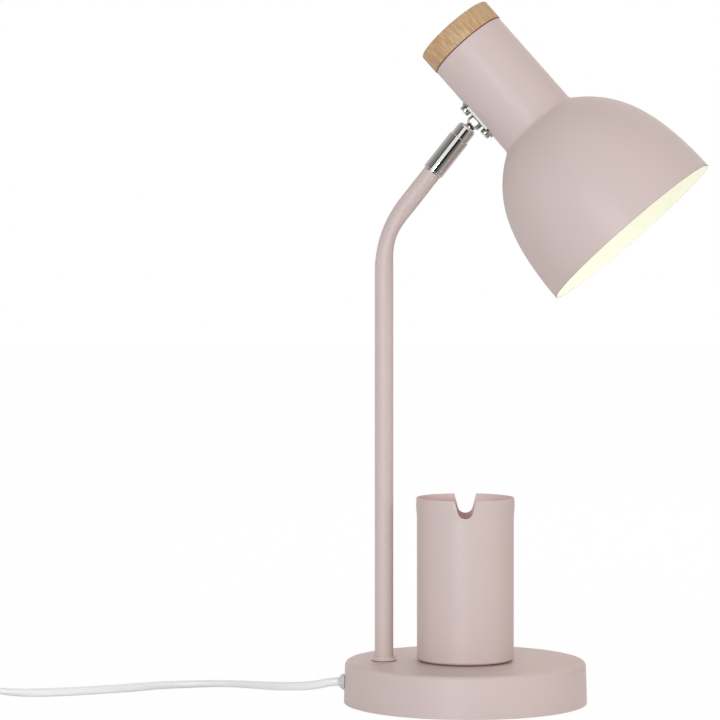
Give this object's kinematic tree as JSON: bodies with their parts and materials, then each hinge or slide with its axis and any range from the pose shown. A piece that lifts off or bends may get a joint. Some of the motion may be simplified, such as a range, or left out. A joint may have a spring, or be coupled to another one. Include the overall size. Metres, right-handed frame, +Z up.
{
  "type": "desk lamp",
  "caption": "Desk lamp with a round base, an open notched pen cup, a bent stem, a ball joint and a dome shade with a wooden cap.",
  "frame": {"origin": "on the table under the centre of the round base, in the base pad's lower face", "axes": "+Z up, +X from the base's centre away from the stem, the way the head reaches, +Y to the back"},
  "size_m": [0.6144, 0.2013, 0.4472],
  "materials": {
    "pink_paint": "satin dusty-pink powder coat",
    "chrome": "polished chrome",
    "steel": "zinc-plated steel",
    "cast": "rough cast",
    "wood": "oiled pale oak",
    "foot": "soft foam pad",
    "dark_plastic": "dark spacer",
    "bush_plastic": "pale grey bush",
    "cord_plastic": "white flexible sheath",
    "white_plastic": "white moulded plastic",
    "wire_plastic": "thin cores",
    "pin_metal": "nickel-plated brass",
    "bulb_metal": "rolled thread shell",
    "opal_glass": "opal glass, lit"
  },
  "bodies": {
    "root": {"base_shell": "pink_paint", "base_weight": "cast", "base_plate": "steel", "foot_pad": "foot", "base_screws": "steel", "pen_cup": "pink_paint", "cup_spacer": "dark_plastic", "cup_screw": "steel", "cup_nut": "steel", "stem": "pink_paint", "stem_collar": "pink_paint", "stem_nipple": "steel", "stem_washer": "steel", "stem_nut": "steel", "stem_wires": "wire_plastic", "arm_sleeve": "chrome", "cord_grommet": "bush_plastic", "cord_clamp": "bush_plastic", "clamp_screw": "steel", "cord_inner": "cord_plastic", "cord_stretch": "cord_plastic", "cord_link": "cord_plastic", "cord_coil": "cord_plastic", "cord_tail": "cord_plastic", "switch_base": "white_plastic", "switch_cover": "white_plastic", "switch_screws": "steel", "plug_body": "white_plastic", "plug_pins": "pin_metal"},
    "socket": {"ball_socket": "chrome", "ball_seat": "bush_plastic", "socket_clip": "steel", "socket_spring": "steel"},
    "stud": {"ball_stud": "chrome", "stud_washer": "steel", "stud_nut": "steel"},
    "head": {"joint_plate": "chrome", "backing_plate": "steel", "plate_screws": "chrome", "shade": "pink_paint", "wood_cap": "wood", "holder_bridge": "steel", "holder_nipple": "steel", "holder_nut": "steel", "holder_cap": "white_plastic", "holder_body": "white_plastic", "holder_contact": "pin_metal", "bulb_cap": "bulb_metal", "bulb_tip": "pin_metal", "bulb_glass": "opal_glass", "head_wires": "wire_plastic"},
    "rocker": {"switch_rocker": "white_plastic"}
  },
  "joints": [
    {"name": "head_swivel", "type": "hinge", "parent": "root", "child": "socket", "pos_m": [-0.0004, 0, 0.36441], "axis": [0.6184, 0, 0.7859], "range_deg": [-157, 173]},
    {"name": "head_tilt", "type": "hinge", "parent": "socket", "child": "stud", "pos_m": [-0.0004, 0, 0.36441], "axis": [0.1094, 0.9903, -0.0861], "range_deg": [-27.85, 6.15]},
    {"name": "head_turn", "type": "hinge", "parent": "stud", "child": "head", "pos_m": [-0.0004, 0, 0.36441], "axis": [0.7538, -0.0262, 0.6565], "range_deg": [-90, 90]},
    {"name": "switch_press", "type": "hinge", "parent": "root", "child": "rocker", "pos_m": [-0.348, 0.023, 0.012], "axis": [0, 1, 0], "range_deg": [-12, 0]}
  ]
}
